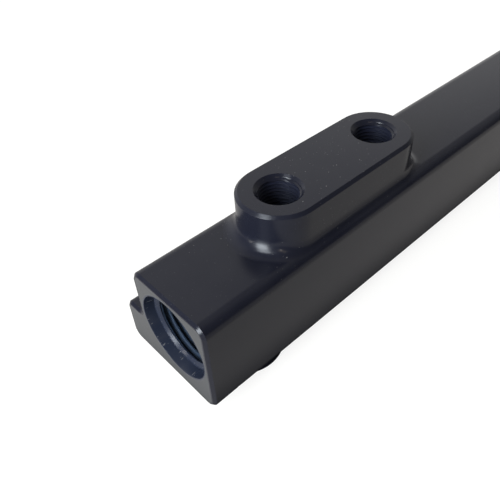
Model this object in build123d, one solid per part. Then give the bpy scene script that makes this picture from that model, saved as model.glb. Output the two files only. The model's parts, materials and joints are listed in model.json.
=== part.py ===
"""Billet fuel rail for a port-injected four-cylinder engine.

One machined bar of anodised aluminium. Millimetres, +X along the rail, +Y
towards the side with the ledge, +Z up. The origin is the middle of the box
around the rail, at the height of the injector boss faces it stands on.
"""
import os

from math import radians, tan

from build123d import *

# Bar section
block_width = 24.0
bar_height = 26.5
ledge_width = 6.4
ledge_height = 12.3
long_edge_radius = 2.8
ledge_edge_radius = 2.0
step_root_radius = 1.8
end_chamfer = 0.65

# Fuel gallery, in the middle of the block's width
gallery_diameter = 14.0
gallery_below_top = 12.0

# Injector outlets on the underside
outlet_count = 4
outlet_pitch = 111.76
outlet_end_distance = 18.5
outlet_boss_diameter = 20.0
outlet_boss_height = 3.6
outlet_boss_root_radius = 1.2
outlet_boss_chamfer = 0.4
pocket_diameter = 14.0
pocket_depth = 8.0
pocket_lead_in = 0.9
outlet_drill_diameter = 9.0

# Twin-port boss on top, near one end
top_boss_length = 51.4
top_boss_width = 19.4
top_boss_height = 9.8
top_boss_chamfer = 0.7
top_boss_root_radius = 3.5
top_port_end_distance = 31.8
top_port_spacing = 32.2

# Sensor ports in the top boss, M10 x 1
top_thread_diameter = 10.0
top_thread_depth = 11.0
top_rim_chamfer = 0.6
top_drill_diameter = 7.0

# Ports in both ends with an O-ring seat, 3/4-16
end_thread_diameter = 19.05
end_thread_depth = 11.5
end_rim_diameter = 20.6
end_seat_depth = 2.4
end_seat_angle = 12.0

# Tapped bracket holes in the ledge's outer face, M6
bracket_thread_diameter = 6.0
bracket_thread_depth = 9.0
bracket_rim_chamfer = 0.4

drill_point_angle = 118.0

# Places that follow from the sizes
rail_length = 2 * outlet_end_distance + (outlet_count - 1) * outlet_pitch
bar_width = block_width + ledge_width
near_x = -rail_length / 2
far_x = rail_length / 2
block_side_y = -bar_width / 2
ledge_face_y = bar_width / 2
gallery_y = block_side_y + block_width / 2
bar_bottom = outlet_boss_height
bar_top = bar_bottom + bar_height
gallery_z = bar_top - gallery_below_top
ledge_middle_z = bar_bottom + ledge_height / 2
top_boss_face = bar_top + top_boss_height
outlet_x = [near_x + outlet_end_distance + i * outlet_pitch for i in range(outlet_count)]
top_port_x = [near_x + top_port_end_distance + i * top_port_spacing for i in range(2)]
bracket_x = [(outlet_x[0] + outlet_x[1]) / 2, (outlet_x[-2] + outlet_x[-1]) / 2]


def drill_point(wide, narrow):
    """Length of the cone that a drill point leaves between two diameters."""
    return (wide - narrow) / 2 / tan(radians(drill_point_angle / 2))


def turned_tool(mouth, steps):
    """A cutter turned about the mouth plane's normal.

    Each step is (depth below the mouth, diameter). The first diameter also
    runs out past the mouth, and the last step closes the cutter.
    """
    clear = 1.0
    outline = [(0, clear), (steps[0][1] / 2, clear)]
    outline += [(diameter / 2, -depth) for depth, diameter in steps]
    if steps[-1][1] > 0:
        outline.append((0, -steps[-1][0]))
    half = Plane.XZ.location * make_face(Polyline(*outline, close=True))
    return mouth.location * revolve(half, Axis.Z)


def bar():
    """The section cut to length, with its long edges rounded and both ends chamfered."""
    corners = [
        (block_side_y, bar_bottom),
        (ledge_face_y, bar_bottom),
        (ledge_face_y, bar_bottom + ledge_height),
        (block_side_y + block_width, bar_bottom + ledge_height),
        (block_side_y + block_width, bar_top),
        (block_side_y, bar_top),
    ]
    radii = [
        long_edge_radius,
        long_edge_radius,
        ledge_edge_radius,
        step_root_radius,
        long_edge_radius,
        long_edge_radius,
    ]
    section = make_face(FilletPolyline(*corners, radius=radii, close=True))
    body = extrude(Plane.YZ.offset(near_x).location * section, rail_length)
    return chamfer(body.faces().filter_by(Axis.X).edges(), end_chamfer)


def add_boss(body, boss, root_radius):
    """Joins a boss to the body and rolls a root radius round it, over rounded edges too."""
    joined = body + boss
    return fillet(new_edges(body, boss, combined=joined), root_radius)


def top_boss():
    """The oblong boss with round ends, centred on the two sensor ports."""
    foot = bar_top - long_edge_radius
    middle = Location(((top_port_x[0] + top_port_x[1]) / 2, gallery_y, foot))
    outline = SlotOverall(top_boss_length, top_boss_width)
    boss = extrude(middle * outline, top_boss_face - foot)
    return chamfer(boss.faces().sort_by(Axis.Z)[-1].edges(), top_boss_chamfer)


def outlet_boss(x):
    """One round injector boss under the bar."""
    height = outlet_boss_height + long_edge_radius
    boss = Pos(x, gallery_y, 0) * extrude(Circle(outlet_boss_diameter / 2), height)
    return chamfer(boss.faces().sort_by(Axis.Z)[0].edges(), outlet_boss_chamfer)


def end_port(x, outward):
    """An O-ring seat, the thread's length at its major diameter, and a drill point."""
    mouth = Plane((x, gallery_y, gallery_z), z_dir=(outward, 0, 0))
    seat_floor = end_rim_diameter - 2 * end_seat_depth * tan(radians(end_seat_angle))
    steps = [
        (0, end_rim_diameter),
        (end_seat_depth, seat_floor),
        (end_seat_depth, end_thread_diameter),
        (end_thread_depth, end_thread_diameter),
        (end_thread_depth + drill_point(end_thread_diameter, 0), 0),
    ]
    return turned_tool(mouth, steps)


def top_port(x):
    """A threaded port drilled on down into the gallery."""
    mouth = Plane((x, gallery_y, top_boss_face))
    point = drill_point(top_thread_diameter, top_drill_diameter)
    steps = [
        (0, top_thread_diameter + 2 * top_rim_chamfer),
        (top_rim_chamfer, top_thread_diameter),
        (top_thread_depth, top_thread_diameter),
        (top_thread_depth + point, top_drill_diameter),
        (top_boss_face - gallery_z, top_drill_diameter),
    ]
    return turned_tool(mouth, steps)


def outlet(x):
    """An injector pocket with its lead-in, drilled on up into the gallery."""
    mouth = Plane((x, gallery_y, 0), z_dir=(0, 0, -1))
    steps = [
        (0, pocket_diameter + 2 * pocket_lead_in),
        (pocket_lead_in, pocket_diameter),
        (pocket_depth, pocket_diameter),
        (pocket_depth, outlet_drill_diameter),
        (gallery_z, outlet_drill_diameter),
    ]
    return turned_tool(mouth, steps)


def bracket_hole(x):
    """A blind tapped hole at its major diameter, square to the ledge's outer face."""
    mouth = Plane((x, ledge_face_y, ledge_middle_z), z_dir=(0, 1, 0))
    steps = [
        (0, bracket_thread_diameter + 2 * bracket_rim_chamfer),
        (bracket_rim_chamfer, bracket_thread_diameter),
        (bracket_thread_depth, bracket_thread_diameter),
        (bracket_thread_depth + drill_point(bracket_thread_diameter, 0), 0),
    ]
    return turned_tool(mouth, steps)


def gallery():
    """The long drilling that feeds every port."""
    near_end = Plane((near_x, gallery_y, gallery_z), z_dir=(1, 0, 0))
    return extrude(near_end.location * Circle(gallery_diameter / 2), rail_length)


def rail_body():
    """The bar with its bosses, then every hole cut from it."""
    body = add_boss(bar(), top_boss(), top_boss_root_radius)
    for x in outlet_x:
        body = add_boss(body, outlet_boss(x), outlet_boss_root_radius)
    body -= gallery()
    body -= end_port(near_x, -1)
    body -= end_port(far_x, 1)
    for x in top_port_x:
        body -= top_port(x)
    for x in outlet_x:
        body -= outlet(x)
    for x in bracket_x:
        body -= bracket_hole(x)
    return body.solid()


rail = rail_body()
rail.label = "rail_body"
os.makedirs("parts", exist_ok=True)
export_step(rail, "parts/rail_body.step")
print("volume", round(rail.volume), "mm3, sound solid:", rail.is_valid)
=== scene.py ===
"""Looks of a black anodised billet fuel rail, lit and seen as in its photograph.

The rail is one machined piece, so it is drawn as one closed surface. Its
patches are worked out with numpy from the sizes of the CAD, finer than the
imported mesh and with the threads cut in. Sizes are in millimetres until the
mesh is made, and in metres from there on.
"""
import json
import math
from collections import namedtuple

import bpy
import numpy as np
from mathutils import Matrix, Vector
from mathutils.geometry import delaunay_2d_cdt


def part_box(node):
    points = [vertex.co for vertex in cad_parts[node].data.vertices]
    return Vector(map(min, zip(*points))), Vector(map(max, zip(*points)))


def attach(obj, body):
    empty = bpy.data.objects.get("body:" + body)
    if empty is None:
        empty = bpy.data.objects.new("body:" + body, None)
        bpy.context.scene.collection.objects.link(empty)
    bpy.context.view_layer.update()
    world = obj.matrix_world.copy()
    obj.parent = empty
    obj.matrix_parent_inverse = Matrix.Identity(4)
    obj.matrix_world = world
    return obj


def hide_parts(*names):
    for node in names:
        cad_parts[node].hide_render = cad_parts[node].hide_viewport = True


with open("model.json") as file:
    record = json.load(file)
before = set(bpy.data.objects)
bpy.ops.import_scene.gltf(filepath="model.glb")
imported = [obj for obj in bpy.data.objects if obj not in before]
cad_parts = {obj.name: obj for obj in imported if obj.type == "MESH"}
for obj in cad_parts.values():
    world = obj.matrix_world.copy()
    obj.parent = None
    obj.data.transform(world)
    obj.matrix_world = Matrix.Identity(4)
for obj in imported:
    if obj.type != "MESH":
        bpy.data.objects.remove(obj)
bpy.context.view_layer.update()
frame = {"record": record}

METRES = 0.001

# The bar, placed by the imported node's box
low_corner, high_corner = (np.array(corner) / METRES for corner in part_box("rail_body"))
NEAR_X, BLOCK_SIDE_Y = low_corner[0], low_corner[1]
FAR_X, LEDGE_FACE_Y = high_corner[0], high_corner[1]
BLOCK_WIDTH = 24.0
BAR_BOTTOM = 3.6
BAR_TOP = 30.1
LEDGE_TOP = 15.9
LONG_EDGE_RADIUS = 2.8
LEDGE_EDGE_RADIUS = 2.0
STEP_ROOT_RADIUS = 1.8
END_CHAMFER = 0.65

# Radius that sharp corners are eased by, and the most of a side that the arc at one end of it may take
EDGE_EASE = 0.12
SENSOR_EASE = 0.06
END_EASE = 0.08
BRACKET_EASE = 0.05
EASE_SHARE = 0.45

# The gallery
GALLERY_RADIUS = 7.0
GALLERY_Y = BLOCK_SIDE_Y + BLOCK_WIDTH / 2
GALLERY_Z = BAR_TOP - BLOCK_WIDTH / 2

# Threads by radii, pitch and depth, the rows drawn in each turn, and where in a turn they start
Thread = namedtuple("Thread", "major minor pitch depth rows phase")
# A thread's crest and flank as shares of half its pitch, and the share of a pitch that it fades in over
THREAD_CREST = 0.2
THREAD_FLANK = 0.66
THREAD_FADE_IN = 0.2

# The oblong boss and its two sensor ports
BOSS_FACE = high_corner[2]
BOSS_HALF_WIDTH = 9.7
BOSS_STRAIGHT = 32.0
BOSS_CHAMFER = 0.7
BOSS_ROOT_RADIUS = 3.5
SENSOR_THREAD = Thread(major=5.0, minor=4.46, pitch=1.0, depth=11.0, rows=10, phase=0.3)
SENSOR_CHAMFER = 0.6
SENSOR_DRILL_RADIUS = 3.5

# The end ports
END_THREAD = Thread(major=9.525, minor=8.75, pitch=1.5875, depth=11.5, rows=14, phase=0.0)
END_RIM_RADIUS = 10.3
END_SEAT_DEPTH = 2.4
END_SEAT_ANGLE = 12.0
END_SEAT_FOOT = END_RIM_RADIUS - END_SEAT_DEPTH * math.tan(math.radians(END_SEAT_ANGLE))
# Fall of the seat's ledge towards the thread, depth of the lead-in by its width, and plain wall below it
END_LEDGE_FALL = 0.03
END_LEAD_IN_SLOPE = 0.8
END_LEAD_IN_LIP = 0.15

# The injector bosses and pockets
OUTLET_RADIUS = 10.0
OUTLET_CHAMFER = 0.4
OUTLET_ROOT_RADIUS = 1.2
POCKET_RADIUS = 7.0
POCKET_LEAD_IN = 0.9
POCKET_DEPTH = 8.0
OUTLET_DRILL_RADIUS = 4.5

# The bracket holes
BRACKET_THREAD = Thread(major=3.0, minor=2.55, pitch=1.0, depth=9.0, rows=7, phase=0.0)
BRACKET_CHAMFER = 0.3
BRACKET_LIP = 0.04

# Half the angle of a drill's point, and the depth that the point takes for each millimetre of radius
DRILL_HALF_ANGLE = 59.0
DRILL_SLOPE = 1 / math.tan(math.radians(DRILL_HALF_ANGLE))
# Width of flat face drawn with each hole's mouth, and length of plain wall below a drill point
LIP = 0.3
NECK = 0.5
# Skin that a feature's grid takes beyond its root, and bar drawn with each end's chamfer
BOSS_MARGIN = 2.0
BRACKET_MARGIN = 1.0
END_STRIP = END_CHAMFER + 0.4

# How finely the surface is drawn: columns round a hole, and rows in a root, in the skin round a boss, in the
# skin round a bracket hole, in a plain wall and in an eased corner
PORT_COLUMNS = 96
ROOT_ROWS = 12
BOSS_SKIN_ROWS = 12
BRACKET_SKIN_ROWS = 4
WALL_ROWS = 3
EASE_STEPS = 3
EVEN_TURN = np.linspace(0, 2 * math.pi, PORT_COLUMNS, endpoint=False)
# Parts of half a turn of rounded edge
EDGE_PARTS = 20
# Spacing in the bar's skin at the bracket holes, at the bosses, and elsewhere along and across the bar
BRACKET_SPACING = 0.6
BOSS_SPACING = 1.4
ALONG_SPACING = 8.0
ACROSS_SPACING = 6.0
# Spacing along the gallery's wall, and how clear its loose points stay of the holes
GALLERY_SPACING = 5.0
GALLERY_CLEARANCE = 0.8

# Points in the same cell of this size are merged. The shift keeps round sizes away from a cell's border
MERGE_CELL = 5e-4
MERGE_SHIFT = 0.137
# Numbers closer than this are equal
SLACK = 1e-6

mounts = {mount["name"]: mount for mount in frame["record"]["mounts"]}


def mount_x(name):
    """Where a mount of the record lies along the rail."""
    return mounts[name]["pos_m"][0] / METRES


SENSOR_X = [mount_x("near_sensor_port"), mount_x("far_sensor_port")]
BOSS_X = sum(SENSOR_X) / 2
OUTLET_X = [mount_x(name) for name in sorted(mounts) if name.startswith("injector_pocket")]
BRACKET_HALF_SPACING = mounts["bracket_holes"]["dims"]["spacing_x_mm"] / 2
BRACKET_X = [mount_x("bracket_holes") + side * BRACKET_HALF_SPACING for side in (-1, 1)]
BRACKET_Z = mounts["bracket_holes"]["pos_m"][2] / METRES


# Finishes under the anodising, as how much of each the material's masks get
FINISHES = ("milled", "tapped", "turned")
BLASTED, MILLED, TAPPED, TURNED, CHASED = (0, 0, 0), (1, 0, 0), (0, 1, 0), (0, 0, 1), (0, 1, 1)


class Shell:
    """Patches of one closed surface, each with its own normals, joined where their points meet."""

    def __init__(self):
        self.points, self.normals, self.faces, self.finishes, self.count = [], [], [], [], 0
        self.finish = BLASTED

    def add(self, points, normals, faces):
        """Takes rows of points and normals, and four indices of them for each face.

        A triangle gives its last index twice. The faces get the finish that is set.
        """
        self.finishes.append(np.tile(self.finish, (len(faces), 1)))
        self.points.append(points)
        self.normals.append(normals / np.linalg.norm(normals, axis=1, keepdims=True))
        self.faces.append(faces + self.count)
        self.count += len(points)

    def grid(self, points, normals, wrap=True, keep=None):
        """A grid of rows and columns. The last column meets the first where it wraps."""
        rows, columns = points.shape[:2]
        index = np.arange(rows * columns).reshape(rows, columns)
        if wrap:
            index = np.concatenate([index, index[:, :1]], axis=1)
        cells = np.stack([index[:-1, :-1], index[:-1, 1:], index[1:, 1:], index[1:, :-1]], axis=-1)
        cells = cells.reshape(-1, 4) if keep is None else cells[keep]
        self.add(points.reshape(-1, 3), normals.reshape(-1, 3), cells)

    def mesh(self, name):
        """Merges points that meet, turns every face outwards and keeps the patches' own normals."""
        points = np.concatenate(self.points)
        normals = np.concatenate(self.normals)
        faces = np.concatenate(self.faces)
        finishes = np.concatenate(self.finishes)
        keys = np.round(points / MERGE_CELL + MERGE_SHIFT).astype(np.int64)
        first, merged = np.unique(keys, axis=0, return_index=True, return_inverse=True)[1:]
        merged = merged.reshape(-1)
        corners = points[first][merged[faces]]
        facing = np.cross(corners[:, 2] - corners[:, 0], corners[:, 3] - corners[:, 1])
        inwards = (facing * normals[faces].sum(axis=1)).sum(axis=1) < 0
        faces[inwards] = faces[inwards][:, [0, 3, 2, 1]]
        ring = merged[faces]
        distinct = ring != np.roll(ring, 1, axis=1)
        distinct[distinct.sum(axis=1) < 3] = False
        sides = distinct.sum(axis=1)
        finishes = finishes[sides > 0]
        sides = sides[sides > 0]
        mesh = bpy.data.meshes.new(name)
        mesh.vertices.add(len(first))
        mesh.vertices.foreach_set("co", (points[first] * METRES).ravel())
        mesh.loops.add(int(sides.sum()))
        mesh.loops.foreach_set("vertex_index", ring[distinct].astype(np.int32))
        mesh.polygons.add(len(sides))
        mesh.polygons.foreach_set("loop_start", (np.cumsum(sides) - sides).astype(np.int32))
        mesh.polygons.foreach_set("use_smooth", np.ones(len(sides), bool))
        mesh.update(calc_edges=True)
        for finish, values in zip(FINISHES, finishes.T):
            marks = mesh.attributes.new(finish, "FLOAT", "FACE")
            marks.data.foreach_set("value", values.astype(np.float32))
        mesh.normals_split_custom_set(normals[faces[distinct]].tolist())
        return mesh


def eased(corners, radius=EDGE_EASE):
    """A polyline whose inner corners are small arcs. Returns its points and the normals on its right.

    At a corner the normal turns evenly from one side's to the other's, and the
    point moves along with it, one radius from the arc's centre.
    """
    corners = np.array(corners, float)
    along = np.diff(corners, axis=0)
    length = np.linalg.norm(along, axis=1)
    along /= length[:, None]
    right = np.stack([along[:, 1], -along[:, 0]], axis=1)
    share = np.linspace(0, 1, EASE_STEPS + 1)[:, None]
    points, normals = [corners[:1]], [right[:1]]
    for i in range(1, len(corners) - 1):
        before, after = along[i - 1], along[i]
        angle = math.acos(float(before @ after))
        bend = math.copysign(1.0, before[0] * after[1] - before[1] * after[0])
        reach = min(radius * math.tan(angle / 2), EASE_SHARE * length[i - 1], EASE_SHARE * length[i])
        arc = reach / math.tan(angle / 2)
        normal = np.sin((1 - share) * angle) * right[i - 1] + np.sin(share * angle) * right[i]
        normal /= math.sin(angle)
        points.append(corners[i] - reach * before + bend * arc * (normal - right[i - 1]))
        normals.append(normal)
    points.append(corners[-1:])
    normals.append(right[-1:])
    return np.concatenate(points), np.concatenate(normals)


class Section:
    """The bar's section as a closed line, by the distance along it from the block's far side."""

    def __init__(self):
        step_y = BLOCK_SIDE_Y + BLOCK_WIDTH
        corners = [
            (step_y, BAR_TOP, LONG_EDGE_RADIUS),
            (BLOCK_SIDE_Y, BAR_TOP, LONG_EDGE_RADIUS),
            (BLOCK_SIDE_Y, BAR_BOTTOM, LONG_EDGE_RADIUS),
            (LEDGE_FACE_Y, BAR_BOTTOM, LONG_EDGE_RADIUS),
            (LEDGE_FACE_Y, LEDGE_TOP, LEDGE_EDGE_RADIUS),
            (step_y, LEDGE_TOP, STEP_ROOT_RADIUS),
        ]
        start = np.array([step_y, (LEDGE_TOP + BAR_TOP) / 2])
        ring = [start] + [np.array(corner[:2]) for corner in corners] + [start]
        self.pieces, self.knots, at = [], [0.0], start
        for i, corner in enumerate(corners, 1):
            along = (ring[i] - ring[i - 1]) / np.linalg.norm(ring[i] - ring[i - 1])
            away = (ring[i + 1] - ring[i]) / np.linalg.norm(ring[i + 1] - ring[i])
            radius = corner[2]
            self.add_line(at, ring[i] - radius * along)
            self.pieces.append((ring[i] + radius * (away - along), along, away, radius))
            self.knots.append(self.knots[-1] + radius * math.pi / 2)
            at = ring[i] + radius * away
        self.add_line(at, start)

    def add_line(self, start, end):
        """A straight stretch from one point to another."""
        length = np.linalg.norm(end - start)
        self.pieces.append((start, (end - start) / length, None, 0.0))
        self.knots.append(self.knots[-1] + length)

    def at(self, distance):
        """Points and outward normals at distances along the section.

        On a line the point is its start plus the distance. On an arc it is the
        centre, plus the radius along the incoming line times the angle's sine,
        less the radius along the outgoing line times its cosine.
        """
        distance = np.mod(distance, self.knots[-1])
        point = np.zeros(distance.shape + (2,))
        tangent = np.zeros(distance.shape + (2,))
        for (origin, along, away, radius), low, high in zip(self.pieces, self.knots, self.knots[1:]):
            here = (distance >= low) & (distance <= high)
            part = (distance[here] - low)[:, None]
            if radius:
                sine, cosine = np.sin(part / radius), np.cos(part / radius)
                point[here] = origin + radius * (along * sine - away * cosine)
                tangent[here] = along * cosine + away * sine
            else:
                point[here] = origin + along * part
                tangent[here] = along + 0 * part
        return point, np.stack([tangent[..., 1], -tangent[..., 0]], axis=-1)

    def skin(self, x, distance):
        """Points and normals of the bar: the section carried along the rail."""
        x, distance = np.broadcast_arrays(x, distance)
        point, normal = self.at(distance)
        points = np.stack([x, point[..., 0], point[..., 1]], axis=-1)
        return points, np.stack([0 * x, normal[..., 0], normal[..., 1]], axis=-1)


# The section, half the width of its flat top, and the distances along it of three middles
section = Section()
FLAT_HALF = (section.knots[3] - section.knots[2]) / 2
TOP_MIDDLE = section.knots[2] + FLAT_HALF
BOTTOM_MIDDLE = section.knots[6] + FLAT_HALF
LEDGE_MIDDLE = section.knots[8] + BRACKET_Z - BAR_BOTTOM - LONG_EDGE_RADIUS
# Where top and bottom are flat, from their middles
TOP_FLAT = (-FLAT_HALF, FLAT_HALF)
BOTTOM_FLAT = (-FLAT_HALF, section.knots[7] - BOTTOM_MIDDLE)
# Distance from the middle of the top or bottom to where the block's plain side begins
ROUND_THE_EDGE = FLAT_HALF + LONG_EDGE_RADIUS * math.pi / 2


def divided(ends, spacing_at):
    """Even divisions between neighbouring ends, each end kept, by the spacing wanted at their middle."""
    ends = np.unique(np.round(ends, decimals=9))
    counts = [max(1, math.ceil((b - a) / spacing_at((a + b) / 2))) for a, b in zip(ends, ends[1:])]
    parts = [np.linspace(a, b, n, endpoint=False) for a, b, n in zip(ends, ends[1:], counts)]
    return np.concatenate(parts + [ends[-1:]])


class Window:
    """A rectangle left out of the bar's skin, which a feature's own grid fills.

    Its middle is the feature's axis on the unrolled skin. An oblong's axis has
    a straight length along the rail.
    """

    def __init__(self, x, middle, half_length, below, above, straight=0.0):
        self.x, self.middle, self.straight = x, middle, straight
        self.x_range = (x - half_length, x + half_length)
        self.s_range = (middle - below, middle + above)

    def covers_x(self, x):
        """True where a place along the rail is inside the rectangle."""
        return (x > self.x_range[0]) & (x < self.x_range[1])

    def covers_s(self, s):
        """True where a distance along the section is inside the rectangle."""
        return (s > self.s_range[0]) & (s < self.s_range[1])

    def set_border(self, x_lines, s_lines):
        """The skin's grid points round the rectangle, and the direction from the axis to each."""
        xs = x_lines[(x_lines > self.x_range[0] - SLACK) & (x_lines < self.x_range[1] + SLACK)]
        ss = s_lines[(s_lines > self.s_range[0] - SLACK) & (s_lines < self.s_range[1] + SLACK)]
        ends, sides = np.ones(len(ss) - 1), np.ones(len(xs) - 1)
        self.border_x = np.concatenate([xs[:-1], xs[-1] * ends, xs[:0:-1], xs[0] * ends])
        self.border_s = np.concatenate([ss[0] * sides, ss[:-1], ss[-1] * sides, ss[:0:-1]])
        self.centre_x = np.clip(self.border_x, self.x - self.straight / 2, self.x + self.straight / 2)
        away = np.stack([self.border_x - self.centre_x, self.border_s - self.middle], axis=1)
        self.away = away / np.linalg.norm(away, axis=1, keepdims=True)

    def fill(self, shell, inner_x, inner_s, rows):
        """From the rectangle to a feature's edge, along straight lines on the unrolled skin."""
        share = np.linspace(0, 1, rows)[:, None]
        x = inner_x + (self.border_x - inner_x) * share
        s = inner_s + (self.border_s - inner_s) * share
        shell.grid(*section.skin(x, s))


class Boss:
    """A boss that stands on the bar's top, or hangs from its bottom."""

    def __init__(self, window, radius, root_radius, up, flat):
        self.window, self.radius, self.root_radius, self.flat = window, radius, root_radius, flat
        across = -up * window.away[:, 1]
        base = BAR_TOP if up > 0 else BAR_BOTTOM
        self.out = np.stack([window.away[:, 0], across, 0 * across], axis=1)
        self.axis = np.stack([window.centre_x, GALLERY_Y + 0 * across, base + 0 * across], axis=1)
        self.lift = np.array([0.0, 0.0, up])

    def root(self, shell):
        """A ball of the root radius rolls round the boss, against its wall and the bar.

        Over the flat its centre is one root radius up. Over a rounded long edge
        it is the root's and the edge's radius away from that edge's own axis.
        The surface is the ball's arc from the bar to the wall.
        """
        window = self.window
        from_axis = self.radius + self.root_radius
        both_radii = self.root_radius + LONG_EDGE_RADIUS
        run = from_axis * window.away[:, 1]
        past = np.maximum(run - self.flat[1], 0) + np.maximum(self.flat[0] - run, 0)
        tilt = np.arcsin(past / both_radii)
        height = (both_radii * np.cos(tilt) - LONG_EDGE_RADIUS)[:, None] * self.lift
        touch_x = window.centre_x + from_axis * window.away[:, 0]
        touch_s = window.middle + np.clip(run, *self.flat) + np.sign(run) * LONG_EDGE_RADIUS * tilt
        window.fill(shell, touch_x, touch_s, BOSS_SKIN_ROWS)
        ball = self.axis + from_axis * self.out + height
        self.foot = self.axis + self.radius * self.out + height
        begin = (section.skin(touch_x, touch_s)[0] - ball) / self.root_radius
        angle = np.arccos(-(begin * self.out).sum(axis=1))[:, None]
        share = np.linspace(0, 1, ROOT_ROWS)[:, None, None]
        arc = (np.sin((1 - share) * angle) * begin - np.sin(share * angle) * self.out) / np.sin(angle)
        shell.grid(ball + self.root_radius * arc, -arc)

    def rim(self, shell, height, chamfer, inset):
        """The wall above the root, the chamfer and a strip of the face. Returns the strip's inner ring."""
        corners = [(0, height - 2 * chamfer), (0, height - chamfer), (-chamfer, height), (-inset, height)]
        profile, across = eased(corners)
        profile, across = profile[:, None, :], across[:, None, :]
        points = self.axis + (self.radius + profile[..., :1]) * self.out + profile[..., 1:] * self.lift
        shell.grid(points, across[..., :1] * self.out + across[..., 1:] * self.lift)
        share = np.linspace(0, 1, WALL_ROWS)[:, None, None]
        shell.grid(self.foot + (points[0] - self.foot) * share, np.stack([self.out] * WALL_ROWS))
        return points[-1]


class Hole:
    """A round hole, by its mouth's middle, the direction out of it, and the angles of its columns."""

    def __init__(self, mouth, out, first, turn):
        self.mouth, self.out, self.turn = np.array(mouth, float), np.array(out, float), turn
        second = np.cross(self.out, first)
        cosine, sine = np.cos(turn)[:, None], np.sin(turn)[:, None]
        self.round = cosine * np.array(first) + sine * second
        self.along = cosine * second - sine * np.array(first)

    def ring(self, radius, depth=0.0):
        """Points round the hole at a radius and a depth."""
        return self.mouth + radius * self.round - depth * self.out

    def turned(self, shell, corners, ease=EDGE_EASE):
        """Turns a line of (radius, depth) corners about the axis, from the mouth inwards."""
        profile, across = eased([(radius, -depth) for radius, depth in corners], ease)
        profile, across = profile[:, None, :], across[:, None, :]
        points = self.mouth + profile[..., :1] * self.round + profile[..., 1:] * self.out
        shell.grid(points, across[..., :1] * self.round + across[..., 1:] * self.out)

    def threaded(self, shell, start, mouth_radius, thread, finish, cone=0.0):
        """The threaded wall from a depth down to the thread's full depth.

        The radius rises from the minor to the major and falls again once a
        pitch, with flats between, and this wave moves by one pitch each turn.
        It fades in and out at both ends. A 45 degree cone at the mouth cuts
        into it, where one is given by its radius at no depth. The normal points
        at the axis, tipped by the radius's slopes round and down the wall,
        which are the differences over a small step to both sides.
        """
        major, minor, pitch, depth, rows, phase = thread
        down = np.linspace(start, depth, math.ceil((depth - start) / pitch * rows) + 1)

        def radius_at(turn, deep):
            wave = np.abs(2 * np.mod(deep / pitch + turn / (2 * math.pi) + phase, 1) - 1)
            groove = np.clip((wave - THREAD_CREST) / THREAD_FLANK, 0, 1)
            fade_in = np.clip((deep - start) / (THREAD_FADE_IN * pitch), 0, 1)
            fade = np.clip((depth - deep) / pitch, 0, 1) * fade_in
            return np.maximum(minor + (major - minor) * groove * fade, cone - deep)

        turn, deep = np.meshgrid(self.turn, down)
        step = 0.02
        radius = radius_at(turn, deep)
        radius[0] = mouth_radius
        slope_round = (radius_at(turn + step, deep) - radius_at(turn - step, deep)) / (2 * step)
        slope_deep = (radius_at(turn, deep + step) - radius_at(turn, deep - step)) / (2 * step)
        points = self.mouth + radius[..., None] * self.round - deep[..., None] * self.out
        normals = (slope_round / radius)[..., None] * self.along - self.round
        normals = normals - slope_deep[..., None] * self.out
        cut = max(1, int(np.searchsorted(down, cone - minor)))
        shell.grid(points[: cut + 1], normals[: cut + 1])
        shell.finish = finish
        shell.grid(points[cut:], normals[cut:])
        shell.finish = BLASTED

    def bored(self, shell, radius, depth):
        """A plain bore from a depth to where it breaks into the gallery. Returns that ring.

        The gallery's wall is the gallery's radius from its axis, so its height
        there is the square root of the radius squared less the width squared.
        """
        start = self.ring(radius, depth)
        end = start.copy()
        end[:, 2] = GALLERY_Z + self.out[2] * np.sqrt(GALLERY_RADIUS**2 - (end[:, 1] - GALLERY_Y) ** 2)
        share = np.linspace(0, 1, WALL_ROWS)[:, None, None]
        shell.grid(start + (end - start) * share, np.stack([-self.round] * WALL_ROWS))
        return end


def cut_patch(shell, place, outline, holes, loose=()):
    """A patch between an outline and holes, laid flat, cut into triangles and put in place.

    A triangle with all its corners on one hole's ring lies in that hole, and is
    left out. Loose points only divide the patch.
    """
    rings = [outline] + holes
    flat = np.concatenate(rings + [np.array(loose).reshape(-1, 2)])
    owner = np.full(len(flat), -1)
    edges, count = [], 0
    for number, ring in enumerate(rings):
        index = np.arange(count, count + len(ring))
        owner[index] = number
        edges.append(np.stack([index, np.roll(index, -1)], axis=1))
        count += len(ring)
    inside_outline = 1
    cut = delaunay_2d_cdt(flat.tolist(), np.concatenate(edges).tolist(), [], inside_outline, SLACK)
    source = np.array([origin[0] for origin in cut[3]])
    triangles = source[np.array(cut[2])]
    owners = owner[triangles]
    in_hole = (owners[:, 0] > 0) & (owners[:, 0] == owners[:, 1]) & (owners[:, 0] == owners[:, 2])
    triangles = triangles[~in_hole]
    shell.add(*place(flat), np.concatenate([triangles, triangles[:, 2:]], axis=1))


def flat_face(shell, outline, holes, normal):
    """A flat face across one of the axes, between rings of points in space."""
    normal = np.array(normal, float)
    across = int(np.argmax(np.abs(normal)))
    level = outline[0, across]

    def place(flat):
        points = np.insert(flat, across, level, axis=1)
        return points, np.broadcast_to(normal, points.shape)

    outline, *holes = (np.delete(ring, across, axis=1) for ring in [outline] + holes)
    cut_patch(shell, place, outline, holes)


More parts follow.
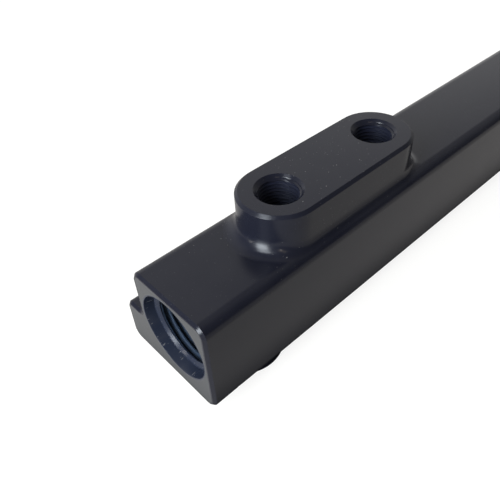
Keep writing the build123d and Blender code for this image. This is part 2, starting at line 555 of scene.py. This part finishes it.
def gallery(shell, start_x, end_x, breaks):
    """The gallery's wall, unrolled from its seam on the ledge's side, and the holes that break into it.

    Loose points on every fourth line divide the wall where it is clear of the
    holes.
    """
    rows = divided([start_x, end_x], lambda middle: GALLERY_SPACING)
    turn = np.linspace(0, 2 * math.pi, PORT_COLUMNS + 1)

    def place(flat):
        turned = flat[:, 1] / GALLERY_RADIUS
        out = np.stack([0 * turned, np.cos(turned), np.sin(turned)], axis=1)
        centre = np.stack([flat[:, 0], GALLERY_Y + 0 * turned, GALLERY_Z + 0 * turned], axis=1)
        return centre + GALLERY_RADIUS * out, -out

    around = turn * GALLERY_RADIUS
    outline = np.concatenate([
        np.stack([rows[:-1], 0 * rows[:-1]], axis=1),
        np.stack([0 * around[:-1] + rows[-1], around[:-1]], axis=1),
        np.stack([rows[:0:-1], 0 * rows[:0:-1] + around[-1]], axis=1),
        np.stack([0 * around[:0:-1] + rows[0], around[:0:-1]], axis=1),
    ])
    inner_x, inner_around = (grid.ravel() for grid in np.meshgrid(rows[1:-1], around[2:-2:4]))
    clear = np.ones(len(inner_x), bool)
    holes = []
    for ring in breaks:
        ring_turn = np.mod(np.arctan2(ring[:, 2] - GALLERY_Z, ring[:, 1] - GALLERY_Y), 2 * math.pi)
        holes.append(np.stack([ring[:, 0], ring_turn * GALLERY_RADIUS], axis=1))
        middle = holes[-1].mean(axis=0)
        half = np.ptp(holes[-1], axis=0) / 2 + GALLERY_CLEARANCE
        clear &= ((inner_x - middle[0]) / half[0]) ** 2 + ((inner_around - middle[1]) / half[1]) ** 2 > 1
    cut_patch(shell, place, outline, holes, np.stack([inner_x[clear], inner_around[clear]], axis=1))


def drill_point(thread, end_radius):
    """Corners below a thread: its minor radius, and the drill's cone from there down to a radius."""
    major, minor, depth = thread.major, thread.minor, thread.depth
    cone = [(radius, depth + (major - radius) * DRILL_SLOPE) for radius in (minor, end_radius)]
    return [(minor, depth)] + cone


def sensor_port(shell, x):
    """A sensor port down to the gallery. Returns its mouth's ring and the ring where it breaks in."""
    port = Hole((x, GALLERY_Y, BOSS_FACE), (0, 0, 1), (1, 0, 0), EVEN_TURN)
    rim, half = SENSOR_THREAD.major + SENSOR_CHAMFER, SENSOR_CHAMFER / 2
    port.turned(shell, [(rim + LIP, 0), (rim, 0), (rim - half, half)], SENSOR_EASE)
    port.threaded(shell, half, rim - half, SENSOR_THREAD, TAPPED, rim)
    corners = drill_point(SENSOR_THREAD, SENSOR_DRILL_RADIUS)
    neck = corners[-1][1] + NECK
    port.turned(shell, corners + [(SENSOR_DRILL_RADIUS, neck)])
    return port.ring(rim + LIP), port.bored(shell, SENSOR_DRILL_RADIUS, neck)


def injector_pocket(shell, x):
    """A pocket for an injector's O-ring, drilled on to the gallery. Returns both rings as a sensor port."""
    pocket = Hole((x, GALLERY_Y, 0.0), (0, 0, -1), (1, 0, 0), EVEN_TURN)
    rim = POCKET_RADIUS + POCKET_LEAD_IN
    corners = [
        (rim + LIP, 0),
        (rim, 0),
        (POCKET_RADIUS, POCKET_LEAD_IN),
        (POCKET_RADIUS, POCKET_DEPTH),
        (OUTLET_DRILL_RADIUS, POCKET_DEPTH),
        (OUTLET_DRILL_RADIUS, POCKET_DEPTH + NECK),
    ]
    pocket.turned(shell, corners)
    return pocket.ring(rim + LIP), pocket.bored(shell, OUTLET_DRILL_RADIUS, POCKET_DEPTH + NECK)


def end_port(shell, x, way):
    """The O-ring seat, its foot, the lead-in, the thread and the drill point of an end port.

    Returns its mouth's ring and where the gallery's plain wall begins.
    """
    port = Hole((x, GALLERY_Y, GALLERY_Z), (way, 0, 0), (0, 0, 1), EVEN_TURN)
    major, minor = END_THREAD.major, END_THREAD.minor
    lead_in = END_SEAT_DEPTH + (major - minor) * END_LEAD_IN_SLOPE
    start = lead_in + END_LEAD_IN_LIP
    corners = [
        (END_RIM_RADIUS + LIP, 0),
        (END_RIM_RADIUS, 0),
        (END_SEAT_FOOT, END_SEAT_DEPTH),
        (major, END_SEAT_DEPTH + END_LEDGE_FALL),
        (minor, lead_in),
        (minor, start),
    ]
    shell.finish = TURNED
    port.turned(shell, corners, END_EASE)
    port.threaded(shell, start, minor, END_THREAD, CHASED)
    corners = drill_point(END_THREAD, GALLERY_RADIUS)
    neck = corners[-1][1] + NECK
    port.turned(shell, corners + [(GALLERY_RADIUS, neck)])
    return port.ring(END_RIM_RADIUS + LIP), x - way * neck


def bracket_hole(shell, window):
    """A blind tapped hole in the ledge's face, with the face round it."""
    rim, half = BRACKET_THREAD.major + BRACKET_CHAMFER, BRACKET_CHAMFER / 2
    mouth = rim + BRACKET_LIP
    lengthwise, around = window.away[:, 0], window.away[:, 1]
    window.fill(shell, window.x + mouth * lengthwise, window.middle + mouth * around, BRACKET_SKIN_ROWS)
    turn = np.arctan2(-around, lengthwise)
    hole = Hole((window.x, LEDGE_FACE_Y, BRACKET_Z), (0, 1, 0), (1, 0, 0), turn)
    hole.turned(shell, [(mouth, 0), (rim, 0), (rim - half, half)], BRACKET_EASE)
    hole.threaded(shell, half, rim - half, BRACKET_THREAD, TAPPED, rim)
    hole.turned(shell, drill_point(BRACKET_THREAD, 0))


def machined_rail():
    """The whole surface: the bar's skin, its bosses, both ends, every hole and the gallery."""
    shell = Shell()
    top_reach = BOSS_HALF_WIDTH + BOSS_ROOT_RADIUS + BOSS_MARGIN
    low_reach = OUTLET_RADIUS + OUTLET_ROOT_RADIUS + BOSS_MARGIN
    hole_reach = BRACKET_THREAD.major + BRACKET_CHAMFER + BRACKET_MARGIN
    side = ROUND_THE_EDGE + BOSS_MARGIN
    top = Window(BOSS_X, TOP_MIDDLE, BOSS_STRAIGHT / 2 + top_reach, side, side, BOSS_STRAIGHT)
    outlets = [Window(x, BOTTOM_MIDDLE, low_reach, side, low_reach) for x in OUTLET_X]
    brackets = [Window(x, LEDGE_MIDDLE, hole_reach, hole_reach, hole_reach) for x in BRACKET_X]
    windows = [top] + outlets + brackets

    def x_spacing(middle):
        if any(window.covers_x(middle) for window in brackets):
            return BRACKET_SPACING
        return BOSS_SPACING if any(window.covers_x(middle) for window in windows) else ALONG_SPACING

    def s_spacing(middle):
        for piece, low, high in zip(section.pieces, section.knots, section.knots[1:]):
            if low < middle < high and piece[3]:
                return piece[3] * math.pi / EDGE_PARTS
        if brackets[0].covers_s(middle):
            return BRACKET_SPACING
        return BOSS_SPACING if any(window.covers_s(middle) for window in windows) else ACROSS_SPACING

    x_ends = [NEAR_X + END_STRIP, FAR_X - END_STRIP] + [end for window in windows for end in window.x_range]
    x_lines = divided(x_ends, x_spacing)
    s_lines = divided(section.knots + [end for window in windows for end in window.s_range], s_spacing)
    for window in windows:
        window.set_border(x_lines, s_lines)
    x_middle = (x_lines[:-1] + x_lines[1:])[:, None] / 2
    s_middle = (s_lines[:-1] + s_lines[1:])[None, :] / 2
    covered = [window.covers_x(x_middle) & window.covers_s(s_middle) for window in windows]
    keep = ~np.logical_or.reduce(covered)
    shell.grid(*section.skin(x_lines[:, None], s_lines[None, :]), wrap=False, keep=keep)

    boss = Boss(top, BOSS_HALF_WIDTH, BOSS_ROOT_RADIUS, 1, TOP_FLAT)
    boss.root(shell)
    outline = boss.rim(shell, BOSS_FACE - BAR_TOP, BOSS_CHAMFER, BOSS_CHAMFER + LIP)
    mouths, breaks = zip(*[sensor_port(shell, x) for x in SENSOR_X])
    flat_face(shell, outline, list(mouths), (0, 0, 1))
    breaks = list(breaks)
    for window in outlets:
        boss = Boss(window, OUTLET_RADIUS, OUTLET_ROOT_RADIUS, -1, BOTTOM_FLAT)
        boss.root(shell)
        outline = boss.rim(shell, BAR_BOTTOM, OUTLET_CHAMFER, OUTLET_CHAMFER + LIP)
        mouth, into_gallery = injector_pocket(shell, window.x)
        breaks.append(into_gallery)
        flat_face(shell, outline, [mouth], (0, 0, -1))
    for window in brackets:
        bracket_hole(shell, window)

    profile, across = eased([(0, -END_STRIP), (0, -END_CHAMFER), (-END_CHAMFER, 0), (-END_STRIP, 0)])
    profile, across = profile[:, None, :], across[:, None, :]
    gallery_ends = []
    for x, way in ((NEAR_X, -1.0), (FAR_X, 1.0)):
        edge, outward = section.skin(x, s_lines[:-1])
        lengthwise = np.array([way, 0.0, 0.0])
        rim = edge + profile[..., :1] * outward + profile[..., 1:] * lengthwise
        shell.grid(rim, across[..., :1] * outward + across[..., 1:] * lengthwise)
        mouth, inside = end_port(shell, x, way)
        shell.finish = MILLED
        flat_face(shell, rim[-1], [mouth], lengthwise)
        shell.finish = BLASTED
        gallery_ends.append(inside)
    gallery(shell, *gallery_ends, breaks)
    return shell.mesh("machined_rail")


class Nodes:
    """Shader nodes, added one by one. What is fed to one is a socket, a number, a place or a colour."""

    def __init__(self, tree):
        self.nodes, self.links = tree.nodes, tree.links

    def add(self, kind, **settings):
        """A new node with its settings."""
        made = self.nodes.new("ShaderNode" + kind)
        for name, setting in settings.items():
            setattr(made, name, setting)
        return made

    def feed(self, socket, value):
        """Links a socket to another, or writes a value into it."""
        if isinstance(value, bpy.types.NodeSocket):
            self.links.new(value, socket)
        else:
            socket.default_value = value + (1.0,) if socket.type == "RGBA" else value

    def math(self, operation, *values, kind="Math"):
        """The number that an operation makes of its values."""
        made = self.add(kind, operation=operation)
        for socket, value in zip(made.inputs, values):
            self.feed(socket, value)
        return made.outputs["Value"]

    def ramp(self, value, low, high, out_low=0.0, out_high=1.0, easing="LINEAR"):
        """A value stretched from one range to another, and held there."""
        made = self.add("MapRange", interpolation_type=easing)
        self.feed(made.inputs["Value"], value)
        limits = {"From Min": low, "From Max": high, "To Min": out_low, "To Max": out_high}
        for name, limit in limits.items():
            self.feed(made.inputs[name], limit)
        return made.outputs["Result"]

    def blend(self, factor, first, second):
        """A colour mixed towards another."""
        made = self.add("Mix", data_type="RGBA")
        for number, value in ((0, factor), (6, first), (7, second)):
            self.feed(made.inputs[number], value)
        return made.outputs[2]

    def rays(self):
        """Marks of the rays from the camera, from a dull surface and from one that mirrors or refracts."""
        path = self.add("LightPath").outputs
        mirrored = self.math("MAXIMUM", path["Is Glossy Ray"], path["Is Transmission Ray"])
        return path["Is Camera Ray"], path["Is Diffuse Ray"], mirrored


class Finish(Nodes):
    """A node material that is built up from named values and patterns on Object coordinates."""

    def __init__(self, name):
        self.material = bpy.data.materials.new(name)
        self.material.use_nodes = True
        super().__init__(self.material.node_tree)
        self.shader = self.nodes["Principled BSDF"]
        self.place = self.add("TexCoord").outputs["Object"]

    def shade(self, inputs):
        """Feeds the shader's inputs, each by its name."""
        for name, value in inputs.items():
            self.feed(self.shader.inputs[name], value)

    def noise(self, scale, detail=0.0, roughness=0.5, stretch=None):
        """Smooth noise with this many features a metre, fewer along an axis where it is stretched."""
        place = self.place
        if stretch:
            scaled = self.add("Mapping")
            self.feed(scaled.inputs["Scale"], stretch)
            self.feed(scaled.inputs["Vector"], place)
            place = scaled.outputs["Vector"]
        made = self.add("TexNoise")
        inputs = {"Vector": place, "Scale": scale, "Detail": detail, "Roughness": roughness}
        for name, value in inputs.items():
            self.feed(made.inputs[name], value)
        return made.outputs["Fac"]

    def mask(self, name):
        """The mesh's own mark of where a finish is."""
        return self.add("Attribute", attribute_name=name).outputs["Fac"]

    def along(self, axis, vector):
        """A place's or direction's part along an axis: X, Y or Z."""
        made = self.add("SeparateXYZ")
        self.feed(made.inputs["Vector"], vector)
        return made.outputs[axis]


ANODISING_DEEP = (0.0074, 0.0082, 0.0146)
ANODISING_PALE = (0.0098, 0.0106, 0.0172)
# Lighter grey of the milled end faces: partly their own tone, partly painted light from the lamps that face
# the ends
MILLED_GREY_WITH_PAINTED_LIGHT = (0.043, 0.044, 0.046)
TAPPED_BLUE = (0.0074, 0.0096, 0.0230)
TURNED_BLUE = (0.0145, 0.0190, 0.0335)
# Paler blue of the end ports' threads: painted fill light that lifts the shade in their grooves
CHASED_BLUE_PAINTED_FILL = (0.017, 0.030, 0.054)
DUST = (0.34, 0.34, 0.34)
ANODISING_IOR = 1.33

# Noises, as features a metre, detail and roughness. The nicks' noise is stretched along the rail
MOTTLE = (110.0, 3.0)
GRAIN = (6000.0, 2.0, 0.7)
SPECKS = (3300.0,)
DRIFTS = (45.0, 1.0)
NICKS = (2600.0, 0.0, 0.5, (0.14, 1.0, 1.0))

# Ramps, as the range that goes in and the range that comes out
NOISE_RANGE = (0.3, 0.7)
SPECK_RAMP = (0.825, 0.85, 0.0, 0.65)
DRIFT_RAMP = (0.60, 0.68, 0.12, 0.6)
NICK_RAMP = (0.78, 0.81, 0.0, 0.25)
FACING_UP_RAMP = (-0.2, 0.9, 0.25, 1.0)

# A place between the sensor ports where dust always lies, and the ramp of the distance from it
DUSTY_PLACE = tuple(size * METRES for size in (BOSS_X - 7.76, GALLERY_Y - 2.8, BOSS_FACE))
DUSTY_PLACE_RAMP = (0.006, 0.016, 1.0, 0.0)

# Roughness over the mottle, what the grain adds to it, and what each finish adds
ROUGHNESS = (0.21, 0.25)
GRAIN_ROUGHNESS = (-0.03, 0.03)
MILLED_ROUGHER = 0.1
TAPPED_ROUGHER = 0.35
CHASED_ROUGHER = 0.15
GRAIN_STRENGTH = 0.2
GRAIN_HEIGHT = 0.00002


def black_anodising():
    """Satin black anodised aluminium, a little blue.

    A fine grain and a faint mottle vary colour, gloss and bump. The milled
    ends are rougher, and greyer partly in their own tone and partly by
    painted light from the lamps that face them. The sensor ports' threads
    are dull. The turned end ports are a clearer blue, and their threads a
    paler blue still, which is painted fill light in the shade of their
    grooves. Fine nicks mark their seats. Specks of dust lie in drifts on
    what faces up.
    """
    finish = Finish("black_anodising")
    mottle, grain = finish.noise(*MOTTLE), finish.noise(*GRAIN)
    milled, tapped, turned = (finish.mask(name) for name in FINISHES)
    chased = finish.math("MULTIPLY", tapped, turned)
    colour = finish.blend(finish.ramp(mottle, *NOISE_RANGE), ANODISING_DEEP, ANODISING_PALE)
    # The milled grey is partly painted light, and the chased threads' paler blue is painted fill light
    tints = ((milled, MILLED_GREY_WITH_PAINTED_LIGHT), (tapped, TAPPED_BLUE), (turned, TURNED_BLUE), (chased, CHASED_BLUE_PAINTED_FILL))
    for mask, tint in tints:
        colour = finish.blend(mask, colour, tint)

    speck = finish.ramp(finish.noise(*SPECKS), *SPECK_RAMP)
    from_dusty_place = finish.math("DISTANCE", finish.place, DUSTY_PLACE, kind="VectorMath")
    drift = finish.ramp(finish.noise(*DRIFTS), *DRIFT_RAMP)
    drift = finish.math("MAXIMUM", drift, finish.ramp(from_dusty_place, *DUSTY_PLACE_RAMP))
    upward = finish.along("Z", finish.add("NewGeometry").outputs["Normal"])
    lying = finish.math("SUBTRACT", finish.ramp(upward, *FACING_UP_RAMP), tapped)
    dust = finish.math("MULTIPLY", finish.math("MULTIPLY", speck, drift), lying)
    colour = finish.blend(finish.ramp(dust, 0.0, 1.0), colour, DUST)
    nick = finish.math("SUBTRACT", finish.noise(*NICKS), tapped)
    nick = finish.math("MULTIPLY", finish.ramp(nick, *NICK_RAMP), turned)
    colour = finish.blend(nick, colour, DUST)

    roughness = finish.ramp(mottle, *NOISE_RANGE, *ROUGHNESS)
    roughness = finish.math("ADD", roughness, finish.ramp(grain, *NOISE_RANGE, *GRAIN_ROUGHNESS))
    for mask, rougher in ((milled, MILLED_ROUGHER), (tapped, TAPPED_ROUGHER), (chased, CHASED_ROUGHER)):
        roughness = finish.math("ADD", roughness, finish.math("MULTIPLY", mask, rougher))
    bump = finish.add("Bump")
    for name, value in {"Strength": GRAIN_STRENGTH, "Distance": GRAIN_HEIGHT, "Height": grain}.items():
        finish.feed(bump.inputs[name], value)
    normal = bump.outputs["Normal"]
    finish.shade({"Base Color": colour, "Roughness": roughness, "Normal": normal, "IOR": ANODISING_IOR})
    return finish.material


WHITE = (1.0, 1.0, 1.0)
PAPER_GREY = (0.18, 0.18, 0.17)
PAPER_IN_SHADOW = (0.02, 0.02, 0.02)
PAPER_ROUGHNESS = 0.9
PAPER_SHEEN = 0.1
# How strongly the paper glows to the camera and in reflections, and its tint there
PAPER_SEEN = 0.85
PAPER_IN_REFLECTIONS = 0.40
PAPER_GLOW = (1.0, 0.96, 0.96)
# How far from the rail's ends and sides the contact shadow starts and ends its fade, in metres
END_SHADOW = (0.0002, 0.0028)
SIDE_SHADOW = (0.0002, 0.0078)
FLOOR_HALF_SIZE = 3.0


def paper():
    """Pale paper that looks white to the camera and still takes the rail's shadow.

    In reflections it is a fainter, warmer white, and it turns dark as it comes
    up to the rail, as a contact shadow does.
    """
    finish = Finish("studio_paper")
    camera, _, mirrored = finish.rays()
    beside = [finish.math("ABSOLUTE", finish.along(axis, finish.place)) for axis in ("X", "Y")]
    beyond = finish.math("SUBTRACT", beside[0], -NEAR_X * METRES)
    across = finish.math("SUBTRACT", beside[1], LEDGE_FACE_Y * METRES)
    clear = finish.math("MAXIMUM", finish.ramp(beyond, *END_SHADOW), finish.ramp(across, *SIDE_SHADOW))
    glow = finish.math("MULTIPLY", finish.math("MULTIPLY", mirrored, clear), PAPER_IN_REFLECTIONS)
    shaded = finish.math("MULTIPLY", mirrored, finish.ramp(clear, 0.0, 1.0, 1.0, 0.0))
    finish.shade({
        "Base Color": finish.blend(shaded, PAPER_GREY, PAPER_IN_SHADOW),
        "Roughness": PAPER_ROUGHNESS,
        "Specular IOR Level": PAPER_SHEEN,
        "Emission Color": finish.blend(mirrored, WHITE, PAPER_GLOW),
        "Emission Strength": finish.math("ADD", finish.math("MULTIPLY", camera, PAPER_SEEN), glow),
    })
    return finish.material


def placed(name, data, place=(0.0, 0.0, 0.0), axes=np.eye(3)):
    """An object in the scene, at a place and with its own axes as the columns of a matrix."""
    made = bpy.data.objects.new(name, data)
    made.matrix_world = Matrix.Translation(tuple(place)) @ Matrix(axes.tolist()).to_4x4()
    bpy.context.scene.collection.objects.link(made)
    return made


def floor_sheet():
    """A flat square that the rail stands on."""
    mesh = bpy.data.meshes.new("floor")
    half = FLOOR_HALF_SIZE
    corners = [(-half, -half, 0.0), (half, -half, 0.0), (half, half, 0.0), (-half, half, 0.0)]
    mesh.from_pydata(corners, [], [(0, 1, 2, 3)])
    mesh.materials.append(paper())
    return placed("floor", mesh)


NEAR_END = np.array([NEAR_X, GALLERY_Y, BAR_TOP]) * METRES
DAYLIGHT = (0.87, 0.935, 1.0)
ROOM_LIGHT = (1.0, 0.95, 0.88)
LAMP_LIGHT = (1.0, 0.88, 0.7)
# Each lamp's azimuth, elevation, width and height in degrees, its brightness, colour and distance in metres
LAMPS = {
    "window_low": (-96, 14, 25, 32, 21.0, DAYLIGHT, 0.5),
    "window_high": (-97, 41, 22, 20, 13.5, DAYLIGHT, 0.5),
    "window_beside": (-67, 4, 6, 6, 14.0, ROOM_LIGHT, 1.0),
    "ceiling_lamp_1": (-143, 27, 4, 4, 40.0, LAMP_LIGHT, 1.0),
    "ceiling_lamp_2": (-159, 34, 4, 4, 20.0, LAMP_LIGHT, 1.0),
}


def window_light(name, azimuth, elevation, width, height, brightness, colour, distance):
    """A lamp like a window, seen from the rail's near end at an azimuth and elevation in degrees.

    Its width and height are the angles that it fills. Brightness is against
    white paper: the power is that, times pi, times the area.
    """
    azimuth, elevation, *spread = (math.radians(angle) for angle in (azimuth, elevation, width, height))
    level = np.array([math.sin(azimuth), math.cos(azimuth), 0.0])
    back = math.cos(elevation) * level + np.array([0.0, 0.0, math.sin(elevation)])
    right = np.array([-level[1], level[0], 0.0])
    lamp = bpy.data.lights.new(name, "AREA")
    lamp.shape = "RECTANGLE"
    lamp.size, lamp.size_y = (2 * distance * math.tan(angle / 2) for angle in spread)
    lamp.energy = brightness * math.pi * lamp.size * lamp.size_y
    lamp.color = colour
    placed(name, lamp, NEAR_END + distance * back, np.stack([right, np.cross(back, right), back], axis=1))


# The backdrop's middle as a direction, and how its white falls off away from there
BACKDROP = (0.557, 0.663, 0.5)
BACKDROP_EDGE = (0.0, 0.72)
DARK_SIDE = 0.16
# The direction square to the backdrop's leaning side edge, how sharp that edge is, and what is left past it
PAST_SIDE_EDGE = (0.05, -0.87, 0.49)
SIDE_EDGE = (-0.13, 0.06)
BESIDE_BACKDROP = 0.42
# How much stronger the backdrop is as a light than as a reflection
BACKDROP_LIGHT = 1.5


def studio_world():
    """A white backdrop behind the rail and a darker room behind the camera.

    The cosine from the backdrop's middle fades its white out. What the rail
    mirrors also shows the backdrop's side edge. To the camera it is white all
    round.
    """
    world = bpy.data.worlds.new("studio")
    bpy.context.scene.world = world
    world.use_nodes = True
    sky = Nodes(world.node_tree)
    camera, diffuse, mirrored = sky.rays()
    direction = sky.add("TexCoord").outputs["Generated"]
    towards = sky.math("DOT_PRODUCT", direction, BACKDROP, kind="VectorMath")
    past_edge = sky.math("DOT_PRODUCT", direction, PAST_SIDE_EDGE, kind="VectorMath")
    fall = sky.ramp(towards, *BACKDROP_EDGE, DARK_SIDE, 1.0, easing="SMOOTHSTEP")
    edge = sky.ramp(past_edge, *SIDE_EDGE, 1.0, BESIDE_BACKDROP, easing="SMOOTHSTEP")
    lit = sky.math("MULTIPLY", diffuse, BACKDROP_LIGHT)
    weight = sky.math("ADD", sky.math("MULTIPLY", mirrored, edge), lit)
    around = sky.math("MULTIPLY", weight, fall)
    background = sky.nodes["Background"]
    sky.feed(background.inputs["Color"], sky.blend(diffuse, WHITE, ROOM_LIGHT))
    sky.feed(background.inputs["Strength"], sky.math("ADD", around, camera))


# The camera, solved from the photograph's edges: pixels of a 500 x 500 frame, degrees, and metres. Its place
# along the rail is measured from the near end
FRAME = 500
FOCAL_PIXELS = 560.58
MIDDLE_PIXEL = (278.087, 236.087)
CAMERA_AZIMUTH = 43.5026
CAMERA_ELEVATION = 42.0712
CAMERA_ROLL = -1.5416
CAMERA_PLACE = (NEAR_X * METRES - 0.034059, -0.071962, 0.112295)
CLIP_START = 0.01


def add_camera():
    """A camera whose principal point is moved by its shift, as the cropped photograph needs."""
    azimuth, elevation, roll = (math.radians(a) for a in (CAMERA_AZIMUTH, CAMERA_ELEVATION, CAMERA_ROLL))
    level = np.array([math.sin(azimuth), math.cos(azimuth), 0.0])
    forward = math.cos(elevation) * level - math.sin(elevation) * np.array([0.0, 0.0, 1.0])
    flat_right = np.array([math.cos(azimuth), -math.sin(azimuth), 0.0])
    flat_up = np.cross(flat_right, forward)
    right = math.cos(roll) * flat_right + math.sin(roll) * flat_up
    data = bpy.data.cameras.new("camera")
    data.lens = FOCAL_PIXELS / FRAME * data.sensor_width
    data.shift_x = (FRAME / 2 - MIDDLE_PIXEL[0]) / FRAME
    data.shift_y = (MIDDLE_PIXEL[1] - FRAME / 2) / FRAME
    data.clip_start = CLIP_START
    axes = np.stack([right, np.cross(right, forward), -forward], axis=1)
    bpy.context.scene.camera = placed("camera", data, CAMERA_PLACE, axes)


rail = placed("machined_rail", machined_rail())
rail.data.materials.append(black_anodising())
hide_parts("rail_body")
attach(rail, "root")
floor_sheet()
for lamp_name, numbers in LAMPS.items():
    window_light(lamp_name, *numbers)
studio_world()
add_camera()
bpy.context.scene.view_settings.view_transform = "Standard"
